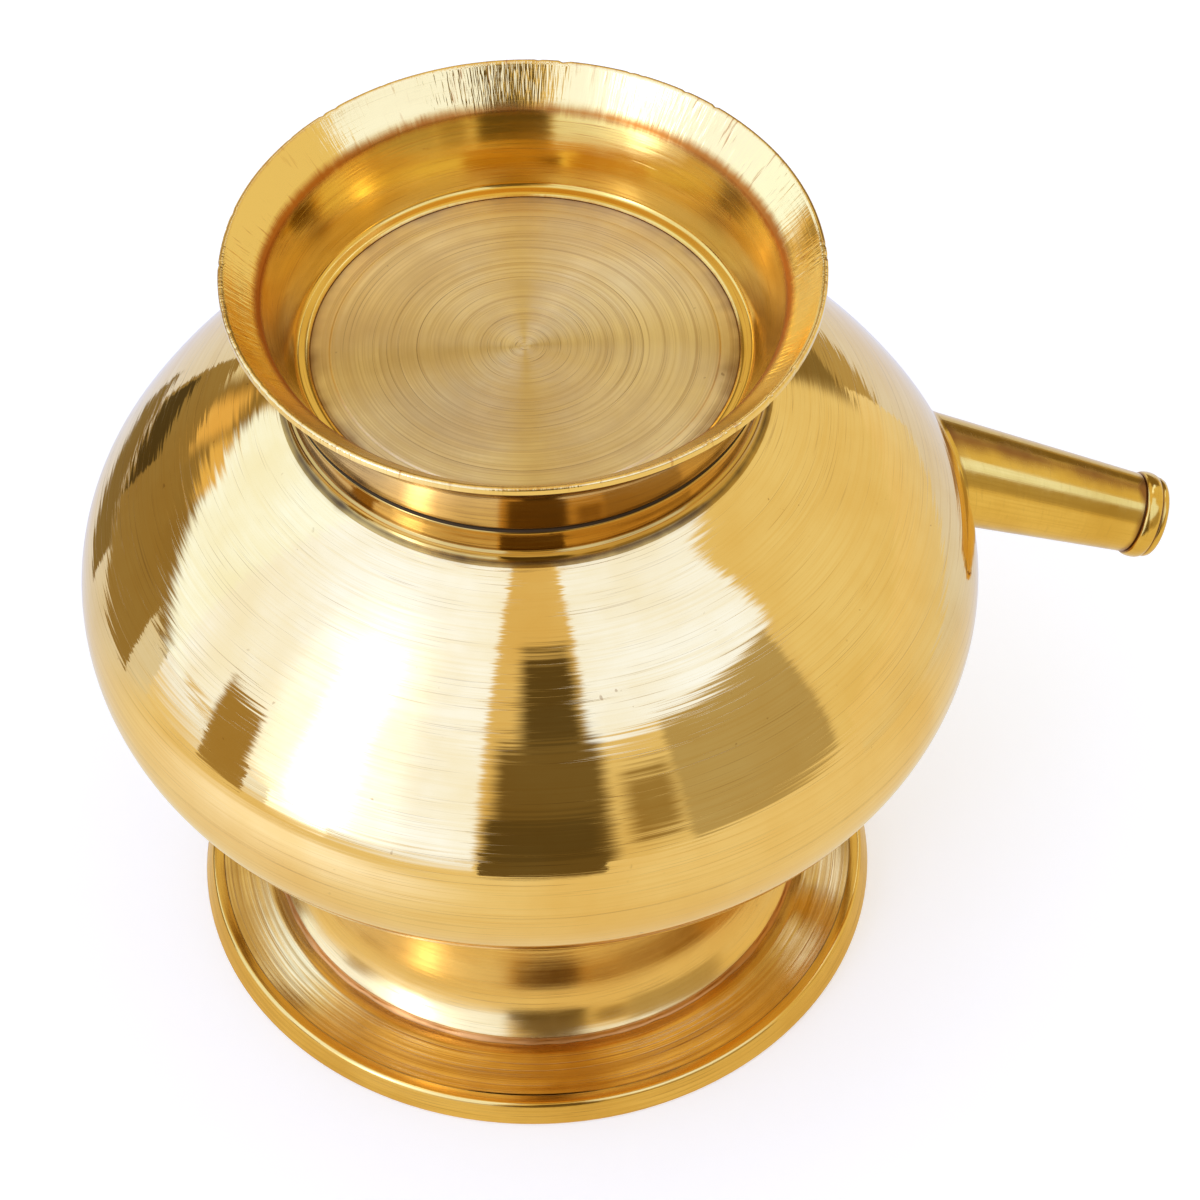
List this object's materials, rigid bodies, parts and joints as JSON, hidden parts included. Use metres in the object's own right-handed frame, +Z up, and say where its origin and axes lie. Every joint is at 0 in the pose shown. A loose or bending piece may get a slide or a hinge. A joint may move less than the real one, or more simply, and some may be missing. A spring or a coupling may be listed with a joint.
{
  "type": "neti pot",
  "caption": "Brass neti pot: a round belly on a flared pedestal foot, a short tapered spout at the side and a dish-shaped lid that lifts off the neck.",
  "frame": {"origin": "on the table, under the middle of the whole object with its spout", "axes": "+Z up along the pot's axis, +X the way the spout points, +Y to the back"},
  "size_m": [0.1484, 0.12, 0.1189],
  "materials": {
    "belly_brass": "mirror polished with fine turning lines",
    "foot_brass": "turned, satin to polished",
    "neck_brass": "polished, darker in the grooves",
    "dish_brass": "polished, hammered lip with orange patina in the crease",
    "floor_brass": "turned satin with concentric marks",
    "spout_brass": "polished, with dark seams beside the bead",
    "braze": "coppery braze metal"
  },
  "bodies": {
    "pot": {"foot_edge_band": "foot_brass", "foot_flange": "foot_brass", "foot_braze_ring": "braze", "pedestal_stem": "belly_brass", "lower_bowl": "belly_brass", "upper_bowl": "belly_brass", "bowl_bottom_plate": "belly_brass", "neck_collar": "neck_brass", "spout_tube": "spout_brass", "spout_bead": "spout_brass", "spout_saddle": "braze"},
    "lid": {"lid_dish": "dish_brass", "lid_floor_disc": "floor_brass", "lid_spigot": "neck_brass"}
  },
  "joints": [
    {"name": "lid_lift", "type": "slide", "parent": "pot", "child": "lid", "axis": [0, 0, 1], "range_m": [0, 0.05]}
  ]
}
